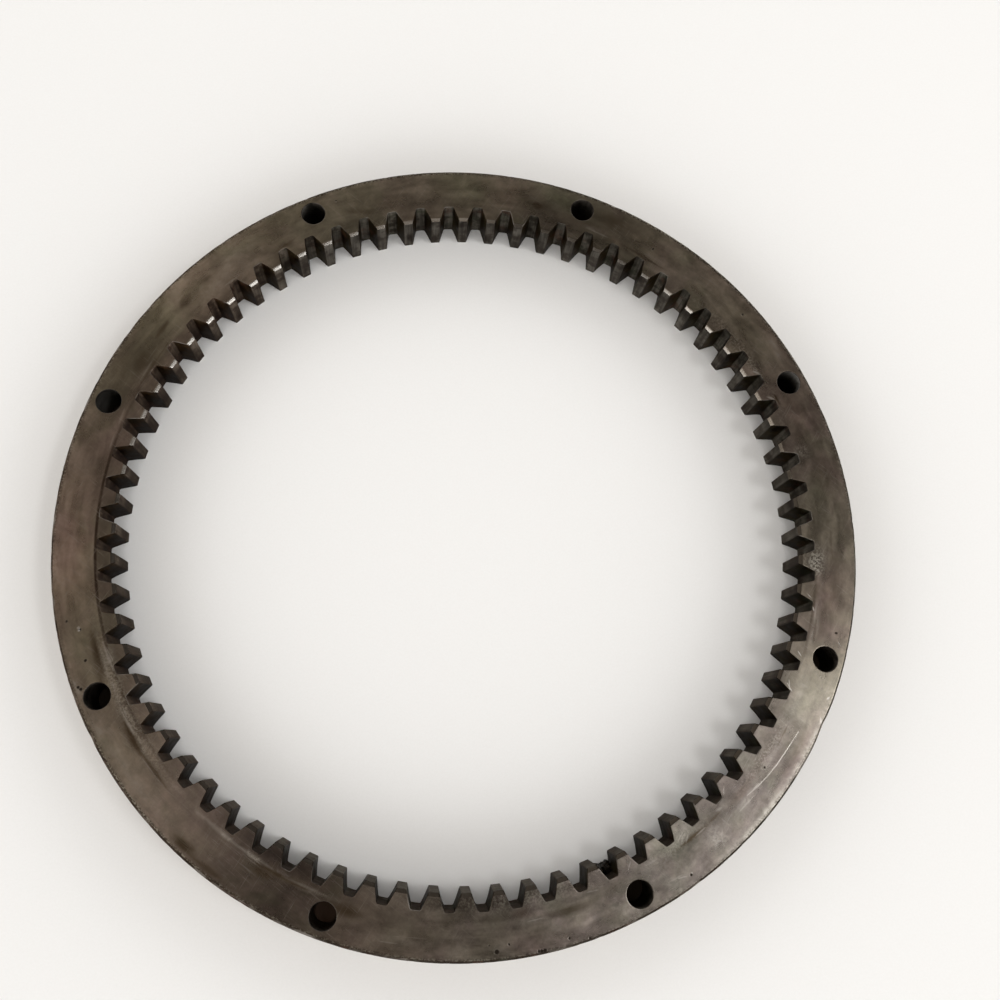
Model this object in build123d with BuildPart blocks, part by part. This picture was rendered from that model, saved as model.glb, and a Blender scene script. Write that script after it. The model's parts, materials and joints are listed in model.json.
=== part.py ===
from build123d import *
import os
from math import acos, cos, pi, radians, sin, tan

os.makedirs("parts", exist_ok=True)

# Ring gear of a planetary drive, in millimetres. It is one piece of steel: a flat turned
# ring with straight involute teeth cut on the inside and bolt holes drilled through the rim.
# The origin is the centre of the bottom face, and +Z runs up along the ring's axis.

# Teeth
module = 5.0
tooth_count = 72
pressure_angle = 20.0
addendum = 4.25
dedendum = 4.5
backlash = 0.2
root_fillet = 0.8

# Bolt holes, clearance holes for M12
hole_count = 8
hole_diameter = 13.0
first_hole_angle = 22.5

# Rim
thickness = 25.0
wall_inside_holes = 5.5
wall_outside_holes = 4.0
outer_chamfer = 1.0

# The bore chamfer at both ends is much wider than it is deep
bore_chamfer_width = 2.0
bore_chamfer_depth = 0.7

# How far the tool that cuts a tooth space starts inside the bore
cutter_overrun = 1.0

# Sizes that follow from the values above
pitch_radius = module * tooth_count / 2
base_radius = pitch_radius * cos(radians(pressure_angle))
tip_radius = pitch_radius - addendum
root_radius = pitch_radius + dedendum
hole_circle_radius = root_radius + wall_inside_holes + hole_diameter / 2
outer_radius = hole_circle_radius + hole_diameter / 2 + wall_outside_holes
tooth_pitch_angle = 360 / tooth_count


def involute(angle):
    """Involute function of an angle in radians: its tangent less the angle itself."""
    return tan(angle) - angle


def space_half_angle(radius):
    """Half the angle that a tooth space spans at a radius, in radians.

    On an internal gear the spaces have the outline of an external gear's teeth, so they
    narrow from the bore to the root. Inside the base circle the flank runs straight in.
    """
    at_pitch = pi / (2 * tooth_count) + backlash / (2 * pitch_radius)
    flank_angle = acos(min(1.0, base_radius / radius))
    return at_pitch + involute(radians(pressure_angle)) - involute(flank_angle)


def flank_point(radius):
    """Point of the flank at a radius, for a tooth space centred on the X axis."""
    half_angle = space_half_angle(radius)
    return radius * cos(half_angle), radius * sin(half_angle)


# One tooth space: two involute flanks, a root on the root circle, and rounded root corners
cutter_radius = tip_radius - cutter_overrun
root_width = 2 * root_radius * sin(space_half_angle(root_radius))
root_corner = min(root_fillet, 0.4 * root_width)

with BuildSketch() as tooth_space:
    with BuildLine() as space_outline:
        flank = ThreePointArc(
            flank_point(cutter_radius),
            flank_point((cutter_radius + root_radius) / 2),
            flank_point(root_radius),
        )
        other_flank = mirror(flank, about=Plane.XZ).edge()
        ThreePointArc(flank @ 1, (root_radius, 0), other_flank @ 1)
        Line(flank @ 0, other_flank @ 0)
    make_face()
    fillet(tooth_space.vertices().sort_by(Axis.X)[-2:], radius=root_corner)

with BuildPart() as ring_gear:
    # The turned blank: a rectangular section with its four corners bevelled
    with BuildSketch(Plane.XZ) as blank_section:
        with BuildLine():
            Polyline(
                (tip_radius + bore_chamfer_width, 0),
                (outer_radius - outer_chamfer, 0),
                (outer_radius, outer_chamfer),
                (outer_radius, thickness - outer_chamfer),
                (outer_radius - outer_chamfer, thickness),
                (tip_radius + bore_chamfer_width, thickness),
                (tip_radius, thickness - bore_chamfer_depth),
                (tip_radius, bore_chamfer_depth),
                close=True,
            )
        make_face()
    revolve(axis=Axis.Z)

    # The tooth spaces, set so that a tooth stands in line with the first bolt hole
    with BuildSketch() as tooth_spaces:
        with PolarLocations(0, tooth_count, start_angle=first_hole_angle + tooth_pitch_angle / 2):
            add(tooth_space.sketch)
    extrude(amount=thickness, mode=Mode.SUBTRACT)

    # The bolt holes, drilled right through from the top face
    with Locations(Plane.XY.offset(thickness)):
        with PolarLocations(hole_circle_radius, hole_count, start_angle=first_hole_angle):
            Hole(hole_diameter / 2)

ring_gear.part.label = "ring_gear"
export_step(ring_gear.part, "parts/ring_gear.step")

print("pitch diameter", 2 * pitch_radius, "bore", 2 * tip_radius, "root", 2 * root_radius)
print("outside diameter", 2 * outer_radius, "hole circle", 2 * hole_circle_radius)
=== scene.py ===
# %% [markdown]
# A ring gear is the fixed outer gear of a planetary drive: a flat steel ring with its teeth on
# the inside. This one has been in use. Its turned faces are darkened by oil, its tooth spaces
# are nearly black, and its edges and bevels are worn bright.
#
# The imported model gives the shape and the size. Here the same ring is made again as one fine
# mesh with softened, slightly battered edges, and its steel gets a finish for each kind of
# surface: faces, tooth walls, bevels, bolt holes and outer rim.

# %% Load the frame
import json

import bmesh
import bpy
import numpy as np
from math import radians
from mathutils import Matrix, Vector


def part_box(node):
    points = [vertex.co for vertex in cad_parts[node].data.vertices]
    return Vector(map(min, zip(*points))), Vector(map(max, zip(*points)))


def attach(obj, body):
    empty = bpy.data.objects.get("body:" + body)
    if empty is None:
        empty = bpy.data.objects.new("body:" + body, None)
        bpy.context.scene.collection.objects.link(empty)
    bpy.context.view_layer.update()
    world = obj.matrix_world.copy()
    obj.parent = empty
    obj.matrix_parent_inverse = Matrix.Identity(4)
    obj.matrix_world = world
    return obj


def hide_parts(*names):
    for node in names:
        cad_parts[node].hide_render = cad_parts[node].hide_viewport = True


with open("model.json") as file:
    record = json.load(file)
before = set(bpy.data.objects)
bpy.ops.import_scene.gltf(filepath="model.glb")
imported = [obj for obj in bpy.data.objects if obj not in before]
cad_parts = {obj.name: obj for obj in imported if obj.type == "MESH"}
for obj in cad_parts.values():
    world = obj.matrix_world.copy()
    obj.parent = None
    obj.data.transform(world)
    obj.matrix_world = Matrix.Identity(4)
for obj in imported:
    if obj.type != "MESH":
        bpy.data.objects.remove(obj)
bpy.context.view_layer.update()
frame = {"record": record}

# %% [markdown]
# The photograph looks down into the ring from a little in front of its middle. A camera with a
# known place, three angles and a lens repeats that view. The ring's holes and teeth were used
# to find the values. The two shifts are the small distance of the lens axis from the middle of
# the picture.

# %% Camera
camera_place = (-0.0277, -0.1075, 0.5320)
camera_angles = (14.151, -4.095, -3.146)
camera_lens = 36.197
camera_shift = (0.0070, -0.0065)

camera_data = bpy.data.cameras.new("camera")
camera_data.lens = camera_lens
camera_data.sensor_width = 36.0
camera_data.shift_x, camera_data.shift_y = camera_shift
camera = bpy.data.objects.new("camera", camera_data)
camera.location = camera_place
camera.rotation_euler = [radians(angle) for angle in camera_angles]
bpy.context.collection.objects.link(camera)
bpy.context.scene.camera = camera
print("camera", tuple(round(value, 3) for value in camera.location))

# %% [markdown]
# A finish is a tree of shader nodes, and so is the sky. Written out by hand a tree is long, so
# this small class adds one node for each call: it makes the node, fills or links its sockets,
# and hands back the output. The finishes below then read like formulas.

# %% A shorthand for shader nodes
class Nodes:
    """A tree of nodes, and short ways to add to it."""

    def __init__(self, tree):
        self.tree = tree

    def node(self, kind, inputs=(), output=0, **settings):
        """Adds a node, gives it its settings and inputs, and returns one of its outputs."""
        made = self.tree.nodes.new(kind)
        for name, value in settings.items():
            setattr(made, name, value)
        for name, value in dict(inputs).items():
            self.fill(made.inputs[name], value)
        return made.outputs[output]

    def fill(self, socket, value):
        """Links a socket to another node's output, or sets it to a plain value."""
        if isinstance(value, bpy.types.NodeSocket):
            self.tree.links.new(value, socket)
        else:
            socket.default_value = value

    def math(self, operation, first, second=0.0):
        """One sum on two numbers."""
        return self.node("ShaderNodeMath", {0: first, 1: second}, operation=operation)

    def ramp(self, value, start, end, low=0.0, high=1.0, rise="SMOOTHSTEP"):
        """Goes smoothly from low to high while the value goes from start to end."""
        inputs = {"Value": value, "From Min": start, "From Max": end, "To Min": low, "To Max": high}
        return self.node("ShaderNodeMapRange", inputs, interpolation_type=rise)

    def mix(self, share, first, second, blend_type="MIX"):
        """The first colour where the share is 0, the second where it is 1."""
        inputs = {0: share, 6: first, 7: second}
        return self.node("ShaderNodeMix", inputs, 2, data_type="RGBA", blend_type=blend_type)

    def times(self, colour, shade):
        """A colour made lighter or darker: all three of its parts multiplied by one number."""
        shades = self.node("ShaderNodeCombineColor", {0: shade, 1: shade, 2: shade})
        return self.mix(1.0, colour, shades, "MULTIPLY")

    def noise(self, place, scale, detail=3.0, roughness=0.55, distortion=0.0):
        """Cloudy noise around one half, with patches about 1 / scale metres across."""
        inputs = {"Vector": place, "Scale": scale, "Detail": detail}
        inputs.update({"Roughness": roughness, "Distortion": distortion})
        return self.node("ShaderNodeTexNoise", inputs)

    def place(self):
        """The point on the object, in metres."""
        return self.node("ShaderNodeTexCoord", output=3)

    def scaled(self, place, stretch):
        """The point with each of its axes multiplied by a number."""
        return self.node("ShaderNodeVectorMath", {0: place, 1: stretch}, operation="MULTIPLY")

    def mark(self, name):
        """A value that the mesh holds at each point, such as wear."""
        return self.node("ShaderNodeAttribute", output=2, attribute_name=name)

    def radius(self, place):
        """Distance from the ring's axis."""
        flat = self.scaled(place, (1.0, 1.0, 0.0))
        return self.node("ShaderNodeVectorMath", {0: flat}, "Value", operation="LENGTH")

    def lathe_place(self, place, along, across):
        """A point for noise that is drawn out along the circles round the axis.

        Its first two numbers are the direction from the axis times along, and the third is
        the distance from the axis times across.
        """
        flat = self.scaled(place, (1.0, 1.0, 0.0))
        way = self.node("ShaderNodeVectorMath", {0: flat}, operation="NORMALIZE")
        around = self.scaled(way, (along, along, 0.0))
        outwards = self.math("MULTIPLY", self.radius(place), across)
        lifted = self.node("ShaderNodeCombineXYZ", {2: outwards})
        return self.node("ShaderNodeVectorMath", {0: around, 1: lifted}, operation="ADD")

    def bump(self, height, distance, strength=1.0, below=None):
        """Small relief: a height from 0 to 1, times a distance in metres."""
        inputs = {"Height": height, "Distance": distance, "Strength": strength}
        if below is not None:
            inputs["Normal"] = below
        return self.node("ShaderNodeBump", inputs)


# %% [markdown]
# A material starts with a ready-made tree: one shader, which describes the steel, and the
# output. A finish adds its nodes to that tree and then fills the shader's sockets.

# %% A finish
class Finish(Nodes):
    """One material and the nodes in it."""

    def __init__(self, name):
        self.material = bpy.data.materials.new(name)
        self.material.use_nodes = True
        super().__init__(self.material.node_tree)
        self.shader = self.tree.nodes["Principled BSDF"]

    def finish(self, **sockets):
        """Fills the sockets of the shader. An underscore in a name stands for a space."""
        for name, value in sockets.items():
            self.fill(self.shader.inputs[name.replace("_", " ")], value)
        return self.material

# %% [markdown]
# The ring lies on a pale floor. Just beneath the ring the floor is painted dark, a ring of painted shade,
# so that it looks dark through the bolt holes, and beneath one of them it has a rusty patch. The floor is
# a single large square, and the painted shade is only a change of its colour with the distance from the
# ring's axis.

# %% Floor
floor_half_width = 4.0
floor_gap = 0.0002
painted_shade_circle = 0.1965
rust_place = (-0.0758, -0.1829, 0.0)


def paper_with_painted_shade():
    """Pale paper with a ring of painted shade beneath the bolt holes and one rusty patch in it."""
    paper = Finish("pale_floor")
    place = paper.place()
    grain = paper.noise(place, 900.0, 2.0)
    colour = paper.mix(grain, (0.80, 0.80, 0.79, 1.0), (0.84, 0.84, 0.835, 1.0))
    # Painted shade: dark brown on the floor in a ring beneath the bolt holes.
    from_shade_circle = paper.math("ABSOLUTE", paper.math("SUBTRACT", paper.radius(place), painted_shade_circle))
    painted_shade = paper.ramp(from_shade_circle, 0.0098, 0.0075)
    colour = paper.mix(painted_shade, colour, (0.09, 0.065, 0.045, 1.0))
    inputs = {0: place, 1: rust_place}
    from_rust = paper.node("ShaderNodeVectorMath", inputs, "Value", operation="DISTANCE")
    rust = paper.ramp(from_rust, 0.0065, 0.0045)
    colour = paper.mix(rust, colour, (0.40, 0.26, 0.19, 1.0))
    return paper.finish(Base_Color=colour, Roughness=0.85)


floor_mesh = bpy.data.meshes.new("floor")
floor_corners = np.array([(-1, -1, 0), (1, -1, 0), (1, 1, 0), (-1, 1, 0)]) * floor_half_width
floor_corners -= (0.0, 0.0, floor_gap)
floor_mesh.from_pydata(floor_corners.tolist(), [], [(0, 1, 2, 3)])
floor_mesh.materials.append(paper_with_painted_shade())
floor = bpy.data.objects.new("floor", floor_mesh)
bpy.context.collection.objects.link(floor)
print("floor half width", floor_half_width)

# %% [markdown]
# A metal face shows what is above it, so the sky is pale near the horizon and dark overhead.
# Then the flat faces stay as dark as the steel in the photograph, while the tooth walls, which
# look towards the horizon, stay light enough to be seen. The height of a direction above the
# horizon is the Z of its unit vector, and X and Y tell the sides apart.

# %% Sky
front_light = (3.10, 3.08, 3.05, 1.0)
back_light = (2.10, 2.09, 2.07, 1.0)
left_overhead = (0.29, 0.24, 0.19, 1.0)
right_overhead = (0.105, 0.084, 0.064, 1.0)
overhead_from, overhead_to = 0.38, 0.78

world = bpy.data.worlds.new("studio")
world.use_nodes = True
bpy.context.scene.world = world
sky = Nodes(world.node_tree)
way_up = sky.node("ShaderNodeTexCoord", output="Generated")
sky_x = sky.node("ShaderNodeSeparateXYZ", {0: way_up}, "X")
sky_y = sky.node("ShaderNodeSeparateXYZ", {0: way_up}, "Y")
sky_z = sky.node("ShaderNodeSeparateXYZ", {0: way_up}, "Z")
low_sky = sky.mix(sky.ramp(sky_y, -1.0, 1.0, rise="LINEAR"), front_light, back_light)
high_sky = sky.mix(sky.ramp(sky_x, -0.22, 0.12, rise="LINEAR"), left_overhead, right_overhead)
sky_colour = sky.mix(sky.ramp(sky_z, overhead_from, overhead_to), low_sky, high_sky)
sky.fill(world.node_tree.nodes["Background"].inputs["Color"], sky_colour)
print("sky is dark above", overhead_to)

# %% [markdown]
# Three soft lamps stand where the steel mirrors them towards the camera. Blurred by the
# roughness of the faces they become the broad sheen on the lower right of the ring and the
# fainter ones beside it, and they give the bright bevels on the teeth.

# %% Lamps
def softbox(name, way, distance, size, radiance):
    """A flat lamp in the direction way from the ring, turned to face it.

    Its power is its brightness times pi times its area, so a lamp can be made larger without
    a change in how bright it looks in the steel.
    """
    lamp_data = bpy.data.lights.new(name, "AREA")
    lamp_data.shape = "RECTANGLE"
    lamp_data.size, lamp_data.size_y = size
    lamp_data.energy = radiance * np.pi * size[0] * size[1]
    lamp = bpy.data.objects.new(name, lamp_data)
    lamp.location = Vector(way).normalized() * distance
    lamp.rotation_euler = Vector(way).to_track_quat("Z", "Y").to_euler()
    bpy.context.collection.objects.link(lamp)
    print(name, "at", [round(value, 2) for value in lamp.location])


softbox("key_lamp", (0.51, -0.16, 0.845), 3.0, (0.80, 0.50), 10.5)
softbox("right_lamp", (0.265, -0.06, 0.962), 3.0, (0.36, 0.34), 3.0)
softbox("left_lamp", (-0.205, -0.05, 0.977), 3.0, (0.36, 0.34), 1.9)
bpy.context.scene.view_settings.view_transform = "Standard"

# %% [markdown]
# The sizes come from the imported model: the thickness and the outside from its box, the bolt
# holes from its record. The teeth have module 5, so each is a module times pi wide at the pitch
# circle, and a 20 degree pressure angle.

# %% Sizes, in metres
low_corner, high_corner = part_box("ring_gear")
thickness = high_corner.z - low_corner.z
outer_radius = min(-low_corner.x, high_corner.x, -low_corner.y, high_corner.y)
bolt_circle = next(m for m in frame["record"]["mounts"] if m["name"] == "bolt_holes")["dims"]
hole_circle_radius = bolt_circle["pcd_mm"] / 2000
hole_radius = bolt_circle["hole_r_mm"] / 1000
hole_count = bolt_circle["count"]

module = 0.005
tooth_count = 72
pressure_angle = radians(20)
backlash = 0.0002
pitch_radius = module * tooth_count / 2
base_radius = pitch_radius * np.cos(pressure_angle)
tip_radius = pitch_radius - 0.00425
root_radius = pitch_radius + 0.0045
bevel_width = 0.002
bevel_depth = 0.0007
print("outside radius", round(outer_radius, 5), "tip", tip_radius, "root", root_radius)

# %% [markdown]
# A tooth flank is an involute, the curve that the end of a taut string draws as it unwinds from
# a circle. It could be traced by hand with a few points, but the curve has a simple formula in
# polar form, so the exact one is used. A point of the ring's plan is kept as a complex number
# x + iy: turning it by an angle is a multiplication, and the mirror image of an outline is its
# conjugate.

# %% Flank of a tooth
def involute(angle):
    """Involute function: the tangent of an angle, less the angle itself."""
    return np.tan(angle) - angle


def flank(radius):
    """Points of the flank at each radius, for a tooth space centred on the X axis.

    The point is the radius times e to the i times half the angle of the space there. The half
    angle shrinks outwards by the growth of the involute function.
    """
    at_pitch = np.pi / (2 * tooth_count) + backlash / (2 * pitch_radius)
    shrink = involute(np.arccos(base_radius / radius)) - involute(pressure_angle)
    return radius * np.exp(1j * (at_pitch - shrink))


flank_turn = np.degrees(np.angle(flank(tip_radius)) - np.angle(flank(root_radius)))
print("from tip to root a flank turns in by", round(float(flank_turn), 2), "degrees")

# %% [markdown]
# The corners at the roots and the tips are rounded, so an outline is a few short curves, one
# after another. Only half a pitch is worked out: the rest is mirrored and turned.

# %% Outline of the teeth
def rounded(start, corner, end, steps):
    """A soft corner: the quadratic curve that leaves start towards the corner and ends at end."""
    t = np.linspace(0, 1, steps + 1)
    return (1 - t) ** 2 * start + 2 * t * (1 - t) * corner + t**2 * end


root_soft = 0.000525
tip_soft = 0.00035
half_pitch_angle = np.pi / tooth_count


def outline(tip):
    """The closed outline of all the teeth, whose tips lie at radius tip, as 1440 points.

    Half a pitch runs along the root, round the root corner, down the flank, round the tip
    corner and along the tip to the middle of the tooth. Its conjugate is the other half, and
    turning the pitch 72 times gives the ring.
    """
    root_corner = flank(root_radius)
    root_start = root_corner * np.exp(-1j * root_soft / root_radius)
    tip_corner = flank(tip)
    tip_end = tip_corner * np.exp(1j * tip_soft / tip)
    half = np.concatenate([
        [root_radius],
        rounded(root_start, root_corner, flank(root_radius - root_soft), 2),
        flank(np.linspace(root_radius - root_soft, tip + tip_soft, 4))[1:-1],
        rounded(flank(tip + tip_soft), tip_corner, tip_end, 2),
        tip * np.exp(1j * np.linspace(np.angle(tip_end), half_pitch_angle, 3))[1:],
    ])
    other_half = np.conj(half)[::-1] * np.exp(2j * half_pitch_angle)
    pitch = np.concatenate([half[:-1], other_half[:-1]])
    turns = np.exp(2j * half_pitch_angle * np.arange(tooth_count))
    return (turns[:, None] * pitch).ravel()


def moved_into_steel(points, distance):
    """Each point moved square to the outline, away from the bore.

    The chord between a point's two neighbours, divided by its length and multiplied by minus i,
    is the unit vector that points into the steel.
    """
    chord = np.roll(points, -1) - np.roll(points, 1)
    return points - 1j * chord / np.abs(chord) * distance


columns = len(outline(tip_radius))
angles = np.arange(columns) * 2 * np.pi / columns
print("points round the outline", columns)

# %% [markdown]
# A real edge is never sharp. Here every edge is rounded over about a sixth of a millimetre, and
# more where tools and other parts have knocked it. A row of random numbers, averaged with its
# neighbours, gives each column of the mesh its own share of wear. Halfway round a soft edge the
# surface lies 1 - cos 45 of the edge's radius, or 0.293 of it, below the face.

# %% Wear along the edges
chance = np.random.default_rng(72)
edge_round = 0.00016
halfway_round = 0.293


def uneven(reach):
    """A random number for each column, averaged over reach neighbours on both sides."""
    raw = chance.random(columns)
    spread = sum(np.roll(raw, step) for step in range(-reach, reach + 1)) / (2 * reach + 1)
    return (spread - spread.min()) / (spread.max() - spread.min())


def worn_round():
    """Radius of the rounded edge at each column: fine unevenness, and a few larger knocks."""
    return edge_round * (0.6 + 0.6 * uneven(1) + 1.6 * uneven(3) ** 5)


print("edge radius", edge_round)

# %% [markdown]
# The whole ring is a few grids of points. A grid is a list of rows, each a closed row of points
# with a height. The rows run down the tooth walls, across the two faces, round the outer rim
# and down each bolt hole, and where two grids meet they share the same points, which are merged
# afterwards. That keeps the faces four-sided and even, which a boolean cut would not.

# %% Grids
grids = []


def add_grid(points, heights, worn, finish, keep=None):
    """Stores one grid: complex points, heights, wear from 0 to 1 and a finish for each face.

    Each argument is stretched to rows by columns. A finish is a material's number for each
    face between two rows, and keep says which faces are made.
    """
    points = np.asarray(points)
    shape = points.shape
    face_shape = (shape[0] - 1, shape[1])
    grids.append((
        points,
        np.broadcast_to(heights, shape),
        np.broadcast_to(worn, shape),
        np.broadcast_to(finish, face_shape),
        np.ones(face_shape, bool) if keep is None else keep,
    ))


FACE, TOOTH, BEVEL, RIM, HOLE = range(5)

# %% [markdown]
# A tooth wall is the outline repeated at several depths. At both ends the tips lean back along
# the bevel, which is 2 mm wide and only 0.7 mm deep, and there the outline is simply worked out
# again for a larger tip radius. Depth is measured from the nearer face.

# %% Worn edges and bevels
crease_soft = 0.00007
crease_below = 0.0002
in_pitch = np.arange(columns) % 20
land_columns = np.abs(in_pitch - 10) <= 3
land_faces = np.abs(in_pitch - 9.5) < 2


def tip_at(depth):
    """Radius of the tooth tips at a depth below the face, along the bevel and then straight."""
    return tip_radius + bevel_width * max(0.0, 1 - depth / bevel_depth)


def edge_rows(soft):
    """Rows of the worn edge and the bevel at one end, as (points, depth, wear).

    The tips stay even, because the slightest wave would show in their shallow bright bevels.
    """
    soft = np.where(land_columns, edge_round, soft)
    face_row = moved_into_steel(outline(tip_at(0)), soft)
    middle_row = moved_into_steel(outline(tip_at(halfway_round * edge_round)), halfway_round * soft)
    rows = [(face_row, 0 * soft, 1.0), (middle_row, halfway_round * soft, 1.0)]
    rows.append((outline(tip_at(edge_round)), soft, 0.9))
    above_crease = bevel_depth - crease_soft
    crease = rounded(
        tip_at(above_crease) + 1j * above_crease,
        tip_radius + 1j * bevel_depth,
        tip_radius + 1j * (bevel_depth + crease_below),
        2,
    )
    rows += [(outline(point.real), point.imag + 0 * soft, 0.0) for point in crease]
    return rows


print("bevel", bevel_width, "wide and", bevel_depth, "deep")

# %% [markdown]
# The wall itself needs only three rows between its two ends, because it is straight. The faces
# of the bevels are those in the first three rows from either end that lie on the tips.

# %% Tooth walls
top_soft, bottom_soft = worn_round(), worn_round()
top_rows, bottom_rows = edge_rows(top_soft), edge_rows(bottom_soft)
wall_rows = [(points, thickness - depth, worn) for points, depth, worn in top_rows]
for share in (0.82, 0.5, 0.18):
    wall_rows.append((outline(tip_radius), share * thickness + 0 * top_soft, 0.0))
wall_rows += [(points, depth, worn) for points, depth, worn in reversed(bottom_rows)]

wall_points = np.array([row[0] for row in wall_rows])
wall_heights = np.array([row[1] for row in wall_rows])
wall_worn = np.array([row[2] for row in wall_rows])[:, None]
last = len(wall_rows) - 2
wall_row_number = np.arange(last + 1)[:, None]
from_end = np.minimum(wall_row_number, last - wall_row_number)
wall_finish = np.where((from_end < 3) & land_faces, BEVEL, TOOTH)
add_grid(wall_points, wall_heights, wall_worn, wall_finish)
print("wall rows", len(wall_rows))

# %% [markdown]
# Each face starts at the outline of the teeth and has to end in plain circles, so its first
# rows are a mix of the two: every point slides in a straight line from the outline to its place
# on the circle. The circles then go on to the outer edge, with a gap left for each bolt hole.

# %% Faces
edge_strip = 0.0004
zone_inside = 0.1884
zone_outside = 0.2046
zone_rows = 11
block_half = 10
zone_circles = np.linspace(zone_inside, zone_outside, zone_rows)[:, None] * np.exp(1j * angles)
hole_columns = (np.arange(hole_count) + 0.5) * columns / hole_count
hole_columns = np.round(hole_columns).astype(int)
column_number = np.arange(columns)
in_block = np.zeros(columns, bool)
for hole_column in hole_columns:
    after_start = column_number >= hole_column - block_half
    in_block |= after_start & (column_number < hole_column + block_half)
keep_zone = np.broadcast_to(~in_block, (zone_rows - 1, columns))

for height, soft in ((thickness, top_soft), (0.0, bottom_soft)):
    soft = np.where(land_columns, edge_round, soft)
    start = moved_into_steel(outline(tip_at(0)), soft)
    first = moved_into_steel(outline(tip_at(0)), soft + edge_strip)
    circle = zone_circles[0]
    slide = [first + share * (circle - first) for share in (0.0, 0.3, 0.65)]
    rows = np.array([start, *slide, circle])
    add_grid(rows, height, np.array([1.0, 0.0, 0.0, 0.0, 0.0])[:, None], FACE)
    add_grid(zone_circles, height, 0.0, FACE, keep_zone)
print("hole columns", hole_columns)

# %% [markdown]
# The patch round a bolt hole runs from a square block of the circles to a round hole. Its rows
# go from the block inwards, round the hole's rim, down the wall and out again on the other
# face, so one grid is the whole hole.

# %% Bolt holes
rim_round = 0.0002
rim_strip = 0.00025
bored_strip = 0.0009


def block_edge(hole_column):
    """The closed row of points round one block of the circles."""
    near, far = hole_column - block_half, hole_column + block_half
    return np.concatenate([
        zone_circles[0, near:far],
        zone_circles[:-1, far],
        zone_circles[-1, far:near:-1],
        zone_circles[:0:-1, near],
    ])


for hole_column in hole_columns:
    centre = hole_circle_radius * np.exp(1j * angles[hole_column])
    block = block_edge(hole_column)
    spokes = (block - centre) / np.abs(block - centre)
    mouth = centre + (hole_radius + rim_round) * spokes
    halfway = centre + (hole_radius + halfway_round * rim_round) * spokes
    wall = centre + hole_radius * spokes
    profile = [(block, 0.0, 0.0)]
    profile += [(block + share * (mouth - block), 0.0, 0.0) for share in (0.35, 0.7)]
    profile += [(mouth + rim_strip * spokes, 0.0, 0.0), (mouth, 0.0, 0.0)]
    profile += [(halfway, halfway_round * rim_round, 0.3)]
    profile += [(wall, rim_round, 0.3), (wall, bored_strip, 0.0)]
    rows = [(points, thickness - depth, worn) for points, depth, worn in profile]
    rows.append((wall, thickness / 2, 0.0))
    rows += reversed(profile)
    hole_points = np.array([row[0] for row in rows])
    hole_heights = np.array([row[1] for row in rows])[:, None]
    hole_worn = np.array([row[2] for row in rows])[:, None]
    row_number = np.arange(len(rows) - 1)[:, None]
    on_face = np.minimum(row_number, len(rows) - 2 - row_number) < 4
    add_grid(hole_points, hole_heights, hole_worn, np.where(on_face, FACE, HOLE))
print("rows down a hole", len(rows))

# %% [markdown]
# The outer rim is the profile of the edge carried round the axis: a strip of the face, a bevel
# with two soft corners, and the plain turned wall. The profile's points are complex numbers
# again, this time radius + i times depth. Years of handling have knocked the edge in, lightly
# all the way round and as a deeper nick in four places.

# %% Outer rim
outer_bevel = 0.001
bevel_soft = 0.00018
face_strip = 0.0006
light_knock = 0.0003


def rim_corner(radius, depth, before, after):
    """A soft corner of the rim's profile, whose points are radius + i times depth."""
    corner = radius + 1j * depth
    return rounded(corner + before, corner, corner + after, 2)


along_bevel = bevel_soft * (1 + 1j) / np.sqrt(2)
inner_corner = rim_corner(outer_radius - outer_bevel, 0.0, -bevel_soft, along_bevel)
outer_corner = rim_corner(outer_radius, outer_bevel, -along_bevel, 1j * bevel_soft)
start_of_rim = [zone_outside, zone_outside + face_strip]
rim_profile = np.concatenate([start_of_rim, inner_corner, outer_corner])
rim_worn = np.array([0.0, 0.0, 0.6, 1.0, 0.8, 0.8, 1.0, 0.6])
knock = light_knock * uneven(2) ** 4
nicks = [(328.2, 1.3, 0.0012), (300.3, 0.4, 0.0004), (207.3, 0.6, 0.0005), (63.0, 0.5, 0.0004)]
for middle, half_width, depth in nicks:
    turn = (np.degrees(angles) - middle + 180) % 360 - 180
    knock += depth * np.exp(-0.5 * (turn / half_width) ** 2) * (0.6 + 0.4 * uneven(1))

# The edges are knocked in and the middle of the rim's wall stays round
rim_points = (rim_profile.real[:, None] - knock * rim_worn[:, None]) * np.exp(1j * angles)
wall_circle = outer_radius * np.exp(1j * angles)
points = np.concatenate([rim_points, [wall_circle, wall_circle], rim_points[::-1]])
depths = rim_profile.imag
heights = np.concatenate([thickness - depths, [0.68 * thickness, 0.32 * thickness], depths[::-1]])
worn = np.concatenate([rim_worn, [0.0, 0.0], rim_worn[::-1]])
row_number = np.arange(len(heights) - 1)
from_end = np.minimum(row_number, len(heights) - 2 - row_number)
rim_finish = np.where(from_end < 2, FACE, np.where(from_end < 6, TOOTH, RIM))
add_grid(points, heights[:, None], worn[:, None], rim_finish[:, None])
print("rim rows", len(heights))

# %% [markdown]
# Now the grids become one mesh. Each grid's points are numbered, a face takes four neighbours,
# and the last column joins the first. Points that fall on the same spot are merged by rounding
# their coordinates to a tenth of a micrometre and keeping one of each.

# %% Join the grids
all_points, all_worn, all_faces, all_finish = [], [], [], []
count = 0
for points, heights, worn, finish, keep in grids:
    rows_in, columns_in = points.shape
    number = count + np.arange(rows_in * columns_in).reshape(rows_in, columns_in)
    count += rows_in * columns_in
    beside = np.roll(number, -1, axis=1)
    quads = np.stack([number[:-1], beside[:-1], beside[1:], number[1:]], axis=-1)
    all_faces.append(quads[keep])
    all_finish.append(finish[keep])
    all_points.append(np.stack([points.real, points.imag, heights], axis=-1).reshape(-1, 3))
    all_worn.append(worn.ravel())
all_points, all_worn = np.concatenate(all_points), np.concatenate(all_worn)
all_faces, all_finish = np.concatenate(all_faces), np.concatenate(all_finish)

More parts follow.
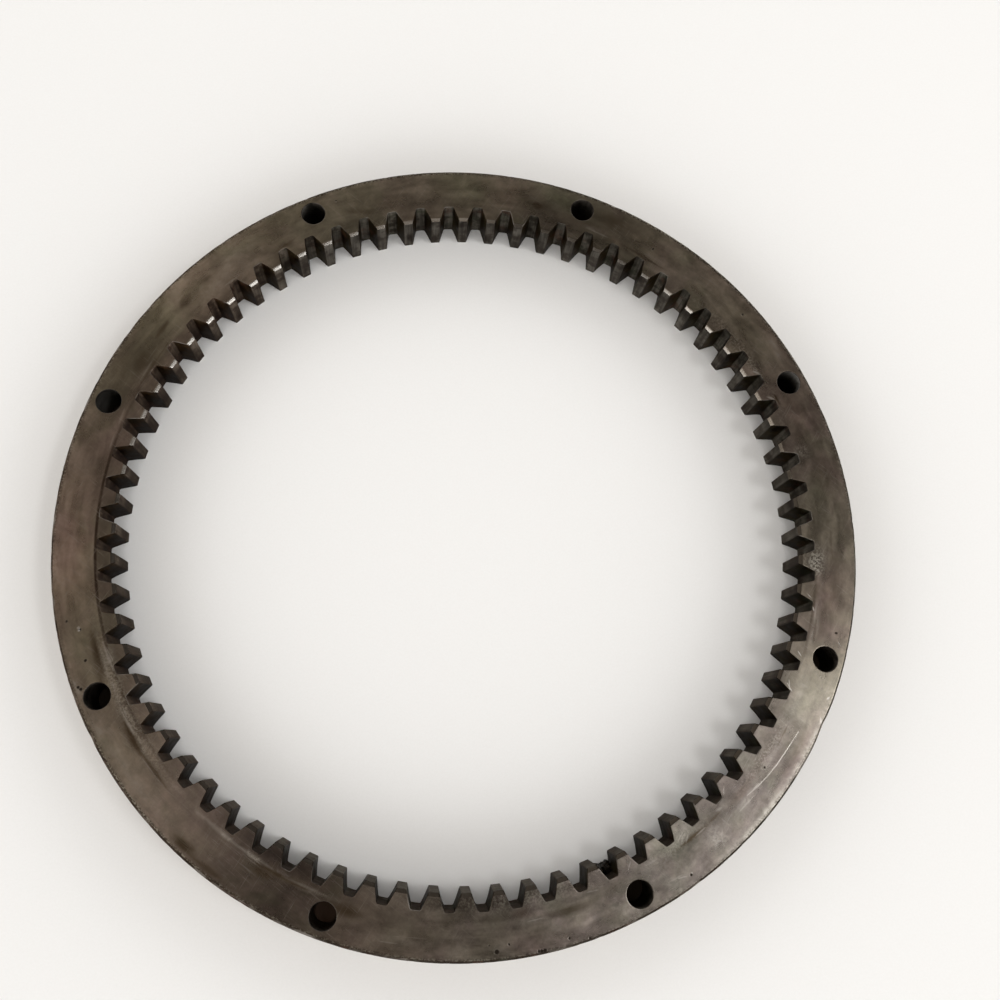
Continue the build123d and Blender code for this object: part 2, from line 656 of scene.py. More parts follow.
merge_step = 1e-7
keys = np.round(all_points / merge_step).astype(np.int64)
_, first_of, merged = np.unique(keys, axis=0, return_index=True, return_inverse=True)
ring_points, ring_worn = all_points[first_of], all_worn[first_of]
ring_faces = merged.ravel()[all_faces]
used = np.unique(ring_faces)
renumber = np.zeros(len(ring_points), int)
renumber[used] = np.arange(len(used))
ring_points, ring_worn, ring_faces = ring_points[used], ring_worn[used], renumber[ring_faces]
print("points", len(ring_points), "faces", len(ring_faces))

# %% [markdown]
# The mesh goes to Blender with smooth shading and the number of a finish for each face. The
# normals are worked out anew, so that all of them point out of the steel, and every edge is
# counted that doesn't have a face on both sides: there should be none. A weighted normal
# modifier keeps the large flat faces flat beside their rounded edges.

# %% Make the ring
ring_mesh = bpy.data.meshes.new("ring_gear_surface")
ring_mesh.from_pydata(ring_points.tolist(), [], ring_faces.tolist())
ring_mesh.polygons.foreach_set("material_index", all_finish.astype(np.int32))
ring_mesh.polygons.foreach_set("use_smooth", np.ones(len(ring_faces), bool))
shell = bmesh.new()
shell.from_mesh(ring_mesh)
bmesh.ops.recalc_face_normals(shell, faces=shell.faces)
open_edges = sum(not edge.is_manifold for edge in shell.edges)
shell.to_mesh(ring_mesh)
shell.free()
ring = bpy.data.objects.new("ring_gear_surface", ring_mesh)
bpy.context.collection.objects.link(ring)
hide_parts("ring_gear")
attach(ring, "root")
weighted = ring.modifiers.new("even_shading", "WEIGHTED_NORMAL")
weighted.mode = "FACE_AREA"
print("open edges", open_edges, "triangles", 2 * len(ring_faces))

# %% [markdown]
# Marks that are larger than a millimetre or two, such as stains and rubbed patches, are kept in
# the mesh as a value at each point, and the shader reads them by name. A mark is a soft oval on
# the face, placed by its angle round the ring and its distance from the axis. A texture painted
# by hand would do the same, but a list of ovals can be read, moved and made stronger.

# %% Soft marks in the mesh
radius_at = np.hypot(ring_points[:, 0], ring_points[:, 1])
angle_at = np.degrees(np.arctan2(ring_points[:, 1], ring_points[:, 0]))
on_top = ring_points[:, 2] > thickness / 2
below_edges = np.abs(ring_points[:, 2] - thickness / 2) < thickness / 2 - 0.0005


def soft_marks(marks):
    """The sum of soft ovals: each falls off as e to the minus half its squared distance.

    A mark is (degrees, millimetres from the axis, half length along the ring, half width,
    strength). Lengths are in millimetres. The lower half gets the same marks, as if the ring
    had been turned over.
    """
    total = np.zeros(len(ring_points))
    for degrees_round, away, half_length, half_width, strength in marks:
        middle = np.where(on_top, degrees_round, 180 - degrees_round)
        turn = (angle_at - middle + 180) % 360 - 180
        along = np.radians(turn) * away / half_length
        across = (radius_at * 1000 - away) / half_width
        total += strength * np.exp(-0.5 * (along**2 + across**2))
    return total


def store(name, values):
    """Writes one number for each point into the mesh."""
    attribute = ring_mesh.attributes.new(name, "FLOAT", "POINT")
    attribute.data.foreach_set("value", values.astype(np.float32))
    print(name, "from", round(float(values.min()), 2), "to", round(float(values.max()), 2))


store("worn", ring_worn)

# %% [markdown]
# The tone says how light or dark each stretch of the ring is. It is partly the uneven film of oil and
# partly painted light: the ovals on either side of the sheen on the lower right brighten and darken the
# steel to shape that sheen. It is 1 on average, and very large ovals raise or lower it. Ovals on the
# circle of the teeth do the same for their tops alone, and the wall light and shade, which is painted, is
# for the walls of the teeth and the bolt holes.

# %% Tone of the oil film, and painted light round the sheen
# Partly painted light: the ovals from 286 to 332 degrees shape the sheen on the lower right.
tones = [
    (8.0, 197.0, 28.0, 20.0, -0.29), (38.0, 197.0, 24.0, 20.0, 0.13), (65.0, 196.0, 18.0, 12.0, -0.28),
    (75.0, 195.0, 14.0, 14.0, -0.17), (131.0, 197.0, 36.0, 20.0, 0.26), (152.0, 193.0, 20.0, 14.0, -0.30),
    (182.0, 197.0, 20.0, 12.0, 0.28), (196.0, 195.0, 14.0, 14.0, -0.10), (214.0, 195.0, 14.0, 20.0, 0.10),
    (240.0, 195.0, 34.0, 22.0, -0.58), (286.0, 197.0, 18.0, 20.0, 0.56), (306.0, 189.0, 18.0, 5.0, -0.20),
    (318.0, 198.0, 22.0, 12.0, -0.21), (332.0, 195.0, 16.0, 12.0, 0.13), (135.5, 195.0, 12.0, 20.0, 0.28),
    (225.0, 195.0, 14.0, 20.0, 0.14), (255.0, 195.0, 12.0, 20.0, 0.12), (30.0, 180.0, 12.0, 3.0, 0.28),
    (350.0, 197.0, 22.0, 20.0, -0.11), (105.0, 180.0, 14.0, 3.0, -0.40), (184.0, 180.0, 24.0, 3.0, -0.44),
    (238.0, 180.0, 34.0, 3.0, -0.36), (272.0, 180.0, 20.0, 3.0, -0.50), (300.0, 180.0, 20.0, 3.0, 0.56),
    (75.0, 180.0, 14.0, 3.0, -0.28), (333.0, 180.0, 16.0, 3.0, -0.32), (60.0, 180.0, 36.0, 3.0, -0.20),
    (348.0, 180.0, 18.0, 3.0, 0.24), (15.0, 180.0, 12.0, 3.0, -0.30), (90.0, 180.0, 10.0, 3.0, 0.16),
    (135.0, 180.0, 14.0, 3.0, -0.42),
]
store("tone", 1 + soft_marks(tones))

# Painted light and shade on the walls: lighter tooth walls near 135 degrees, where a reflection lights
# them, darker ones elsewhere, and a darker bolt hole at 157.5 degrees.
wall_light_and_shade_marks = [
    (232.0, 180.0, 40.0, 8.0, -0.55), (335.0, 180.0, 60.0, 8.0, -0.45), (20.0, 180.0, 60.0, 8.0, -0.45),
    (135.0, 180.0, 44.0, 8.0, 0.40), (157.5, 196.5, 10.0, 10.0, -0.80), (195.0, 180.0, 20.0, 8.0, -0.20),
]
store("wall_light_and_shade", 1 + soft_marks(wall_light_and_shade_marks))

# %% [markdown]
# Stains are thicker oil, dried to a dark brown. Scuffs are the opposite: the film is rubbed off
# and bare steel shows.

# %% Stains and scuffs
stains = [
    (61.9, 197.2, 7.0, 3.6, 0.65), (67.0, 189.0, 10.0, 3.0, 0.30), (74.9, 191.5, 3.0, 1.4, 0.80),
    (20.5, 185.8, 2.4, 0.7, 0.60), (7.0, 196.0, 8.0, 3.0, 0.30), (104.0, 187.5, 5.0, 1.5, 0.40),
    (106.5, 191.0, 5.0, 0.9, 0.35), (118.9, 186.6, 4.0, 1.4, 0.55), (132.7, 195.0, 2.0, 0.8, 0.35),
    (138.0, 192.9, 3.6, 1.6, 0.40), (143.3, 193.2, 3.4, 0.8, 0.45), (149.0, 190.5, 8.0, 3.5, 0.35),
    (151.0, 199.0, 7.0, 2.5, 0.25), (173.0, 190.0, 12.0, 4.0, 0.15), (196.6, 190.5, 8.0, 1.1, 0.95),
    (200.5, 192.6, 7.0, 0.8, 0.45), (210.1, 190.5, 6.0, 0.8, 1.25), (216.0, 190.2, 7.0, 0.5, 0.60),
    (207.3, 205.4, 1.6, 0.7, 0.90), (226.2, 201.7, 4.5, 1.6, 0.95), (230.2, 203.2, 7.0, 1.2, 0.60),
    (240.6, 188.5, 9.0, 0.6, 1.00), (237.3, 190.6, 4.0, 1.0, 0.60), (245.0, 185.5, 14.0, 3.0, 0.25),
    (250.6, 191.2, 5.5, 2.0, 0.75), (275.9, 186.7, 3.0, 1.2, 0.60), (281.7, 190.8, 7.0, 0.9, 0.60),
    (303.8, 188.3, 8.0, 0.5, 0.80), (312.5, 190.0, 9.0, 1.0, 0.25), (323.0, 199.5, 12.0, 1.5, 0.22),
    (348.0, 195.0, 12.0, 3.0, 0.20), (341.0, 190.5, 8.0, 1.0, 0.20), (290.0, 188.5, 7.0, 2.0, 0.30),
    (284.5, 190.8, 12.0, 1.6, 0.30), (272.5, 188.0, 7.0, 1.0, 0.30), (349.0, 184.9, 9.0, 0.5, 0.50),
]
store("stain", np.clip(soft_marks(stains), 0, 1))

scuffs = [
    (305.9, 196.5, 3.4, 4.5, 0.40), (301.8, 184.8, 4.0, 1.6, 0.60), (313.0, 193.8, 6.5, 1.4, 0.35),
    (317.5, 204.3, 30.0, 0.8, 0.45), (320.0, 191.0, 8.0, 1.2, 0.30), (298.0, 200.5, 4.0, 1.5, 0.30),
    (10.9, 187.5, 2.2, 2.4, 0.28), (29.2, 201.7, 3.0, 1.2, 0.35), (27.0, 200.0, 2.0, 1.0, 0.30),
    (127.0, 195.0, 8.0, 3.0, 0.22), (130.5, 188.0, 10.0, 2.5, 0.20), (200.3, 204.0, 2.4, 1.0, 0.70),
    (198.5, 185.0, 5.0, 1.0, 0.45), (206.0, 188.0, 4.5, 1.6, 0.40), (214.0, 200.0, 18.0, 2.0, 0.20),
    (207.0, 202.5, 8.0, 1.6, 0.25), (231.0, 187.1, 20.0, 0.6, 0.60), (277.3, 191.2, 5.0, 0.5, 0.50),
    (244.0, 187.9, 10.0, 0.5, 0.35), (200.0, 188.3, 9.0, 0.6, 0.50), (210.0, 188.5, 7.0, 0.8, 0.40),
    (342.5, 187.3, 8.0, 1.0, 0.30), (352.3, 184.8, 4.6, 3.0, 0.60), (259.0, 199.0, 9.0, 1.2, 0.20),
    (330.5, 189.5, 10.0, 1.4, 0.25), (296.0, 187.0, 6.0, 1.4, 0.30), (64.5, 187.5, 5.0, 0.6, 0.30),
    (311.5, 205.0, 12.0, 1.0, 0.70), (326.0, 204.6, 8.0, 0.9, 0.45), (219.0, 205.8, 16.0, 0.8, 0.30),
]
store("scuff", np.clip(soft_marks(scuffs), 0, 1))

# %% [markdown]
# Where the film is thin it has a colour of its own, a greenish one in some places and a reddish
# one in others. Both are weak, and are multiplied into the colour of the steel.

# %% Coloured films
green_film = [
    (140.0, 195.0, 26.0, 6.0, 0.15), (96.0, 197.0, 16.0, 10.0, 0.10),
    (33.0, 193.0, 26.0, 8.0, 0.75), (6.0, 190.0, 14.0, 5.0, 0.45), (71.0, 198.0, 8.0, 4.0, 0.60),
    (87.0, 196.0, 12.0, 12.0, 0.60), (76.0, 193.0, 14.0, 12.0, 0.30), (198.0, 192.0, 14.0, 8.0, 0.90),
    (211.0, 197.0, 14.0, 10.0, 0.50), (222.0, 196.0, 10.0, 6.0, 0.35), (237.0, 191.0, 8.0, 3.0, 0.60),
    (331.0, 195.0, 10.0, 6.0, 0.15), (302.0, 186.0, 16.0, 2.0, 0.50),
]
store("green_film", soft_marks(green_film))

red_film = [
    (17.0, 192.0, 9.0, 4.0, 0.60), (80.0, 195.0, 9.0, 8.0, 0.60), (58.0, 195.0, 14.0, 8.0, 0.40),
    (183.0, 197.0, 20.0, 10.0, 0.60), (29.0, 202.0, 7.0, 2.0, 0.60), (276.0, 201.0, 12.0, 6.0, 0.40),
    (276.0, 187.0, 4.0, 1.2, 0.80), (317.0, 190.0, 14.0, 3.0, 0.50), (322.0, 203.0, 16.0, 2.0, 0.60),
    (347.0, 192.0, 12.0, 5.0, 0.40), (60.0, 186.5, 9.0, 0.8, 0.60), (64.0, 188.0, 6.0, 1.0, 0.60),
]
store("red_film", soft_marks(red_film))

# %% [markdown]
# Four more marks switch a feature on where it belongs: a step near the roots of the teeth, whose broken
# dark line is painted shade, a lighter patch high on the far walls of two bolt holes, pits on the face,
# and the rough, speckled stretches of the outer edge.

# %% Ledges, lighter hole walls, pits and rough edges
ledges = [
    (178.0, 185.2, 40.0, 5.0, 1.2), (208.0, 185.2, 34.0, 5.0, 0.45), (346.0, 185.0, 20.0, 5.0, 0.6),
]
light_wall_patches = [
    (22.5, 203.5, 6.0, 3.5, 0.9), (114.2, 202.8, 3.0, 1.6, 0.5), (114.3, 196.5, 1.6, 4.0, 0.14),
]
pitted = [
    (352.3, 184.8, 4.2, 2.6, 1.3), (205.0, 187.0, 26.0, 2.0, 0.45), (10.9, 187.5, 2.4, 2.4, 0.45),
    (302.0, 183.5, 2.4, 1.0, 0.4), (275.0, 180.0, 30.0, 3.0, 0.4), (306.0, 196.8, 3.0, 4.0, 0.2),
    (299.5, 187.0, 14.0, 2.0, 0.2), (320.0, 188.0, 16.0, 1.5, 0.30), (31.0, 183.5, 24.0, 2.0, 0.5),
]
rough_edge = [
    (345.0, 200.0, 50.0, 30.0, -0.60), (190.0, 200.0, 30.0, 30.0, -0.50), (215.0, 200.0, 30.0, 30.0, 0.45),
    (48.0, 200.0, 40.0, 30.0, 0.30), (295.0, 200.0, 44.0, 30.0, -0.22), (75.0, 200.0, 20.0, 30.0, -0.30),
]
store("ledge", np.clip(soft_marks(ledges), 0, 1))
store("light_wall_patch", soft_marks(light_wall_patches) * below_edges)
store("pitted", np.clip(soft_marks(pitted), 0, 1))
store("rough_edge", np.clip(0.6 + soft_marks(rough_edge), 0, 1))

# %% [markdown]
# Spots and scratches are finer than the mesh, so the shader draws them. It measures how far a
# point is from the spot's middle, or from the scratch's line, and some noise is added to that
# distance, so no mark is a perfect disc or stroke. Plain sums with a minimum and a maximum do
# all of it, because a renderer has room for only so many smooth ramps in one finish.

# %% Soft edges and spots
def on_face(degrees_round, away):
    """The place on the top face at an angle in degrees and a distance in millimetres."""
    turn = radians(degrees_round)
    return Vector((np.cos(turn), np.sin(turn), 0.0)) * away / 1000


def soft_edge(steel, apart, outer, inner, strength):
    """Strength up to the inner distance, then a straight fall that reaches 0 at the outer one."""
    rise = steel.math("MULTIPLY", steel.math("SUBTRACT", outer, apart), strength / (outer - inner))
    return steel.math("MINIMUM", rise, strength)


def spots(steel, place, marks, ragged):
    """1 inside any of the spots and 0 outside. A spot is (degrees, millimetres, half width)."""
    flat = steel.scaled(place, (1.0, 1.0, 0.0))
    total = 0.0
    for degrees_round, away, half_width in marks:
        inputs = {0: flat, 1: on_face(degrees_round, away)}
        apart = steel.node("ShaderNodeVectorMath", inputs, "Value", operation="DISTANCE")
        apart = steel.math("ADD", apart, ragged)
        size = half_width / 1000
        spot = soft_edge(steel, apart, size * 1.2, size * 0.5, 1.0)
        total = steel.math("MAXIMUM", total, spot)
    return total


print("a spot at 90 degrees, 200 mm out, is at", tuple(round(c, 3) for c in on_face(90, 200)))

# %% [markdown]
# A scratch is a straight line between two places on the face, and how far a point is from it is
# found with vectors. The same lines, wider and brown, are the streaks where oil was wiped.

# %% Scratches and streaks
def scratches(steel, place, marks, ragged, taper=0.0):
    """How strong the straight scratches or streaks are at each point, from 0 to 1.

    A scratch is (degrees, millimetres, degrees, millimetres, half width, strength) for its
    two ends. A point's share along it is the dot product with the scratch, over the square of
    its length, kept between 0 and 1, and the distance is measured to the scratch there. With a
    taper the ends grow thin: s (1 - s) is 0 at both ends of a line and a quarter in its middle,
    so what a quarter less s (1 - s) adds to the distance is nothing in the middle.
    """
    flat = steel.scaled(place, (1.0, 1.0, 0.0))
    total = 0.0
    for from_degrees, from_away, to_degrees, to_away, half_width, strength in marks:
        start, end = on_face(from_degrees, from_away), on_face(to_degrees, to_away)
        span = end - start
        step = steel.node("ShaderNodeVectorMath", {0: flat, 1: start}, operation="SUBTRACT")
        inputs = {0: step, 1: span / span.length_squared}
        share = steel.node("ShaderNodeVectorMath", inputs, "Value", operation="DOT_PRODUCT")
        share = steel.node("ShaderNodeClamp", {"Value": share})
        inputs = {0: span, "Scale": share}
        along = steel.node("ShaderNodeVectorMath", inputs, operation="SCALE")
        inputs = {0: step, 1: along}
        apart = steel.node("ShaderNodeVectorMath", inputs, "Value", operation="DISTANCE")
        apart = steel.math("ADD", apart, ragged)
        size = half_width / 1000
        if taper:
            from_ends = steel.math("MULTIPLY", share, steel.math("SUBTRACT", 1.0, share))
            narrower = steel.math("SUBTRACT", 0.25, from_ends)
            apart = steel.math("ADD", apart, steel.math("MULTIPLY", narrower, 4 * size * taper))
        line = soft_edge(steel, apart, size * 1.6, size * 0.3, strength)
        total = steel.math("MAXIMUM", total, line)
    return total


# %% [markdown]
# The marks themselves: dents filled with old oil, a few painted glints beside them, one long curved
# scratch on the lower right made of five short lines, the many small scratches, among them painted
# highlights along worn tooth edges, and the dark streaks where oil was wiped along the ring.

# %% Spots
dark_spots = [
    (191.0, 201.1, 0.8), (192.6, 195.7, 1.0), (197.1, 196.3, 0.75), (200.3, 203.3, 0.8),
    (200.7, 202.3, 0.8), (271.5, 202.5, 1.0), (270.5, 199.3, 0.5), (273.2, 200.0, 0.5),
    (277.0, 204.9, 0.8), (277.4, 205.0, 0.9), (277.8, 205.1, 0.8), (281.3, 202.8, 0.8),
    (284.0, 205.5, 0.7), (300.1, 201.4, 0.6), (341.8, 198.9, 0.6), (35.9, 197.9, 0.9),
    (108.3, 199.3, 0.5), (54.1, 193.5, 0.7), (318.5, 191.2, 0.5),
]
painted_glint_spots = [(192.3, 196.15, 0.9), (192.7, 196.2, 0.7), (108.4, 198.6, 0.35), (300.3, 201.1, 0.4)]
print("dark spots", len(dark_spots), "light spots", len(painted_glint_spots))

# %% Bright scratches and painted edge highlights
long_scratch = [
    (313.6, 192.6, 315.6, 193.9, 0.24, 0.50), (315.6, 193.9, 317.7, 194.8, 0.24, 0.60),
    (317.7, 194.8, 320.0, 195.5, 0.24, 0.70), (320.0, 195.5, 323.5, 196.1, 0.24, 0.70),
    (323.5, 196.1, 325.8, 196.8, 0.24, 0.50),
]
# The short lines that run outwards over the tooth tops, between about 180 and 187 mm from the axis, are
# painted highlights of worn tooth edges; the rest are scratches.
scratches_and_edge_highlights = [
    (314.4, 192.9, 317.0, 193.9, 0.20, 0.4), (328.3, 206.0, 329.3, 203.4, 0.65, 0.95),
    (331.9, 203.3, 332.5, 204.3, 0.50, 0.9), (301.2, 185.4, 302.7, 183.4, 0.30, 0.5),
    (298.2, 199.4, 299.6, 201.0, 0.28, 0.4), (305.4, 195.6, 306.6, 199.5, 0.50, 0.25),
    (311.0, 194.8, 315.0, 195.5, 0.40, 0.25), (255.8, 200.2, 259.3, 200.0, 0.26, 0.3),
    (257.5, 197.0, 262.0, 196.4, 0.22, 0.25), (196.0, 185.8, 199.0, 183.8, 0.25, 0.4),
    (200.6, 187.0, 203.5, 188.6, 0.28, 0.35), (275.6, 191.4, 279.0, 191.1, 0.30, 0.4),
    (330.6, 186.3, 331.7, 181.6, 0.24, 0.9), (330.9, 184.0, 332.3, 182.0, 0.24, 0.7),
    (336.4, 184.9, 337.2, 181.9, 0.22, 0.8), (346.2, 183.9, 347.0, 180.6, 0.24, 0.9),
    (344.2, 185.9, 344.9, 185.0, 0.26, 0.9), (350.6, 187.4, 351.2, 185.2, 0.28, 0.9),
    (311.2, 184.0, 312.2, 181.0, 0.22, 0.5), (292.4, 184.6, 293.4, 181.4, 0.22, 0.5),
    (285.4, 185.8, 287.2, 186.6, 0.30, 0.5), (20.9, 184.4, 21.8, 181.2, 0.45, 0.8),
    (25.7, 184.8, 26.9, 182.0, 0.60, 1.0), (26.5, 184.2, 27.3, 183.0, 0.24, 0.6),
    (301.2, 187.8, 302.4, 184.6, 0.45, 0.28), (302.0, 188.4, 303.2, 185.4, 0.40, 0.28),
    (304.9, 199.6, 306.3, 195.8, 0.60, 0.18), (305.4, 196.4, 306.8, 192.6, 0.60, 0.18),
    (306.4, 198.4, 307.6, 194.4, 0.50, 0.16), (303.4, 188.9, 305.8, 188.7, 0.30, 0.25),
    (308.6, 186.6, 309.6, 187.4, 0.60, 0.25), (297.0, 198.6, 299.0, 199.2, 0.40, 0.25),
    (318.4, 185.4, 320.6, 183.9, 0.20, 0.40), (340.0, 202.8, 340.6, 200.6, 0.20, 0.40),
    (225.0, 187.0, 232.6, 187.2, 0.90, 0.22), (231.2, 187.2, 238.4, 187.1, 0.80, 0.22),
    (240.0, 187.9, 247.6, 187.8, 0.60, 0.16), (195.2, 186.6, 200.0, 185.4, 0.70, 0.40),
    (206.0, 188.9, 210.2, 188.7, 0.60, 0.35), (205.6, 187.6, 207.6, 188.0, 0.45, 0.35),
    (199.2, 204.5, 200.0, 203.8, 0.60, 0.35), (213.6, 191.2, 218.0, 190.9, 0.30, 0.20),
    (342.4, 186.9, 345.8, 186.6, 0.40, 0.25), (61.4, 186.6, 65.4, 186.8, 0.50, 0.25),
    (148.2, 187.2, 152.8, 187.0, 0.55, 0.18), (157.6, 187.2, 160.6, 186.8, 0.60, 0.20),
    (161.8, 186.9, 165.0, 186.9, 0.45, 0.22), (119.1, 184.7, 120.5, 184.9, 0.45, 0.55),
    (128.4, 185.3, 131.4, 185.6, 0.45, 0.35), (294.6, 186.6, 297.6, 186.9, 0.45, 0.25),
]
print("scratches", len(long_scratch) + len(scratches_and_edge_highlights))

# %% Dark streaks
dark_streaks = [
    (206.6, 190.2, 213.4, 190.8, 1.5, 0.85), (193.0, 191.0, 200.4, 190.4, 1.6, 0.50),
    (199.8, 192.4, 203.4, 191.8, 0.8, 0.35), (211.6, 190.4, 219.0, 190.2, 0.6, 0.50),
    (225.0, 203.4, 228.2, 200.0, 1.8, 0.55), (236.0, 188.7, 244.4, 188.4, 0.75, 0.80),
    (235.6, 191.4, 239.2, 190.6, 1.4, 0.55), (247.8, 191.4, 252.8, 190.7, 2.4, 0.50),
    (301.2, 188.4, 306.0, 188.0, 0.60, 0.60), (306.4, 188.3, 309.0, 188.4, 0.40, 0.45),
    (311.8, 189.0, 316.8, 188.6, 0.70, 0.30), (322.0, 191.0, 325.8, 190.4, 0.35, 0.45),
    (339.6, 188.4, 343.0, 187.8, 0.40, 0.40), (353.0, 194.0, 358.0, 193.6, 0.80, 0.35),
    (267.8, 199.0, 269.6, 199.4, 0.40, 0.50), (35.2, 197.9, 36.8, 198.0, 0.70, 0.50),
    (19.3, 185.9, 21.8, 185.6, 0.60, 0.85), (228.4, 203.4, 233.6, 202.6, 1.10, 0.40),
    (74.0, 190.6, 75.8, 192.2, 1.60, 0.50), (136.2, 195.4, 139.4, 192.8, 2.00, 0.40),
    (141.4, 194.0, 145.4, 192.6, 1.20, 0.45), (148.0, 193.4, 152.2, 189.4, 3.00, 0.32),
    (131.6, 195.0, 134.4, 196.4, 0.90, 0.30), (116.4, 187.6, 121.6, 185.2, 1.20, 0.50),
    (103.0, 187.0, 107.6, 191.4, 1.60, 0.26), (144.0, 186.0, 154.0, 186.0, 0.60, 0.35),
    (50.6, 186.8, 58.6, 186.6, 0.60, 0.45),
]
print("dark streaks", len(dark_streaks))

# %% [markdown]
# The faces were turned on a lathe, so their finest lines are circles round the axis. Years of oil have
# browned them in clouds of warm brown, olive and a little pink. The near right of the ring is painted
# greyer, a painted colour of the paler sheen there. The steel is not a mirror: its roughness blurs the
# lamps into the broad sheen on the lower right.
#
# The finish is put together in steps, as the film grew on the steel: first the colour of the
# film, then how light or dark it is, and then what was done to it. The steps share some noises.

# %% Noises of the face
def face_noises(steel, place):
    """Noises from broad blotches to fine grain. Heights count threefold, so clouds lie flat."""
    flat = steel.scaled(place, (1.0, 1.0, 3.0))
    return {
        "streaks": steel.noise(steel.lathe_place(place, 5.0, 300.0), 1.0, 4.0, 0.55),
        "smears": steel.noise(steel.lathe_place(place, 10.0, 130.0), 1.0, 4.0, 0.6, 0.4),
        "patches": steel.noise(flat, 95.0, 5.0, 0.62, 0.7),
        "blotches": steel.noise(flat, 42.0, 4.0, 0.6, 1.2),
        "smudge": steel.noise(place, 190.0, 4.0, 0.65),
        "grain": steel.noise(place, 620.0, 3.0, 0.7),
        "pink": steel.noise(flat, 34.0, 3.0, 0.6, 0.3),
        "rubbing": steel.noise(flat, 230.0, 5.0, 0.72, 0.4),
    }


def hairlines(steel, place, turn, width):
    """Fine straight hairlines in one direction: noise drawn out 40 times as long as wide."""
    turned = steel.node("ShaderNodeVectorRotate", {"Vector": place, "Angle": turn})
    drawn_out = steel.scaled(turned, (1 / width, 1 / (40 * width), 1 / width))
    return steel.ramp(steel.noise(drawn_out, 1.0, 2.0, 0.5, 0.6), 0.60, 0.70)


# %% Colour of the film
warm_brown = (0.228, 0.184, 0.152, 1.0)
olive_brown = (0.213, 0.190, 0.142, 1.0)
pink_brown = (0.250, 0.194, 0.168, 1.0)
yellow_grey = (0.203, 0.190, 0.158, 1.0)
pink_grey = (0.216, 0.187, 0.170, 1.0)


def painted_sheen_grey(steel, place, noises):
    """How grey each point is painted: 1 at the near right of the ring, where the grey stands for the paler
    sheen, and 0 at the back and the left.
    """
    across = steel.node("ShaderNodeSeparateXYZ", {0: place}, 0)
    towards_back = steel.node("ShaderNodeSeparateXYZ", {0: place}, 1)
    near = steel.ramp(towards_back, -0.04, -0.14)
    sheen_grey = steel.math("MULTIPLY", near, steel.ramp(across, -0.10, 0.04))
    return steel.math("MULTIPLY", sheen_grey, steel.ramp(noises["blotches"], 0.35, 0.60, 0.75, 1.0))


def film_colour(steel, place, noises, sheen_grey):
    """Clouds of brown, olive and pink, then the painted grey of the sheen at the near right, then the thin
    films.
    """
    towards_back = steel.node("ShaderNodeSeparateXYZ", {0: place}, 1)
    at_back = steel.ramp(towards_back, 0.04, 0.19, 0.0, 0.55)
    olive_clouds = steel.noise(place, 16.0, 4.0, 0.6, 0.6)
    olive = steel.math("ADD", steel.ramp(olive_clouds, 0.42, 0.62, -0.2, 0.7), at_back)
    olive = steel.node("ShaderNodeClamp", {"Value": olive})
    pink = steel.math("SUBTRACT", steel.ramp(noises["pink"], 0.50, 0.70, 0.0, 0.9), at_back)
    pink = steel.node("ShaderNodeClamp", {"Value": pink})
    colour = steel.mix(olive, warm_brown, olive_brown)
    colour = steel.mix(pink, colour, pink_brown)
    # Painted sheen colour: the near right is made greyer, like the paler sheen there.
    warm_grey = steel.mix(steel.ramp(noises["pink"], 0.38, 0.60), yellow_grey, pink_grey)
    colour = steel.mix(sheen_grey, colour, warm_grey)
    film = steel.mix(steel.mark("red_film"), (1.0, 1.0, 1.0, 1.0), (1.060, 0.940, 0.965, 1.0))
    film = steel.mix(steel.mark("green_film"), film, (0.925, 1.015, 0.900, 1.0))
    return steel.mix(1.0, colour, film, "MULTIPLY")


print("main colour of the film", warm_brown[:3])

# %% [markdown]
# How light the film is comes from the tone in the mesh, which holds some painted light round the sheen,
# times many noises that are each 1 on average. The part at the near right that is painted grey for the
# sheen is mottled more than the rest, and a narrow band along the outer edge is broken up by a noise of
# its own.

# %% Light and dark of the film
cloud_depths = [("smears", 0.86, 1.14), ("patches", 0.90, 1.11), ("blotches", 0.88, 1.12)]
step_radius = 0.1852
outer_band_radius = 0.2034


def film_shade(steel, place, radius, noises, sheen_grey):
    """The number that the film's colour is multiplied by at each point."""
    streaked = steel.ramp(noises["streaks"], 0.35, 0.70, 0.94, 1.07)
    shade = steel.math("MULTIPLY", steel.mark("tone"), streaked)
    for name, low, high in cloud_depths:
        shade = steel.math("MULTIPLY", shade, steel.ramp(noises[name], 0.33, 0.67, low, high))
    mottle = steel.ramp(noises["rubbing"], 0.38, 0.62, -0.08, 0.12)
    mottle = steel.math("ADD", mottle, steel.ramp(noises["smudge"], 0.36, 0.64, -0.08, 0.09))
    mottle = steel.math("MULTIPLY", mottle, steel.math("ADD", 0.15, sheen_grey))
    shade = steel.math("MULTIPLY", shade, steel.math("ADD", 1.0, mottle))
    shade = steel.math("MULTIPLY", shade, steel.ramp(noises["grain"], 0.30, 0.72, 0.95, 1.05))
    outwards = steel.ramp(radius, step_radius, outer_radius - 0.002, 0.92, 1.08)
    shade = steel.math("MULTIPLY", shade, outwards)
    outer_band = steel.ramp(radius, outer_band_radius - 0.0003, outer_band_radius + 0.0003)
    band_grain = steel.ramp(steel.noise(place, 330.0, 4.0, 0.75), 0.35, 0.65, 0.90, 1.15)
    return steel.math("MULTIPLY", shade, steel.ramp(outer_band, 0.0, 1.0, 1.0, band_grain))


print("step at radius", step_radius, "outer band from", outer_band_radius)

# %% [markdown]
# Then the film gets its marks, in the order in which they cover each other: the step near the
# roots, stains, scuffs and hairlines, and at last the speckled outer edge with the pits.

